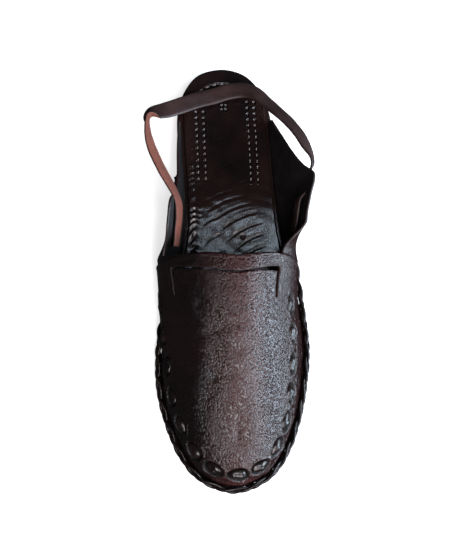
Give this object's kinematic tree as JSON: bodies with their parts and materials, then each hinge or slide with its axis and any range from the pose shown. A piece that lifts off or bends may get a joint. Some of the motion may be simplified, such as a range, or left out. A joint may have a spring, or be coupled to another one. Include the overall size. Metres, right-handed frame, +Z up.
{
  "type": "kolhapuri sandal",
  "caption": "Left leather sandal with a closed round-toe vamp, flared quarters, slack heel strap, plaited rim and stacked leather heel.",
  "frame": {"origin": "on the floor, under the middle of the shoe's box", "axes": "+Z up, -Y towards the toe, +Y towards the heel, +X towards the little-toe side"},
  "size_m": [0.111, 0.2872, 0.0578],
  "materials": {
    "outsole_leather": "waxed sole leather, satin",
    "heel_leather": "burnished stacked leather",
    "insole_leather": "worn glossy leather",
    "upper_leather": "pebbled leather with a soft gloss",
    "thong_leather": "twisted thong, satin",
    "strap_leather": "smooth grain outside, rust flesh side inside"
  },
  "bodies": {
    "root": {"outsole": "outsole_leather", "heel_lift_1": "heel_leather", "heel_lift_2": "heel_leather", "insole": "insole_leather", "upper": "upper_leather", "vamp_thong": "thong_leather", "rim_braid": "thong_leather", "heel_strap": "strap_leather"}
  },
  "joints": []
}
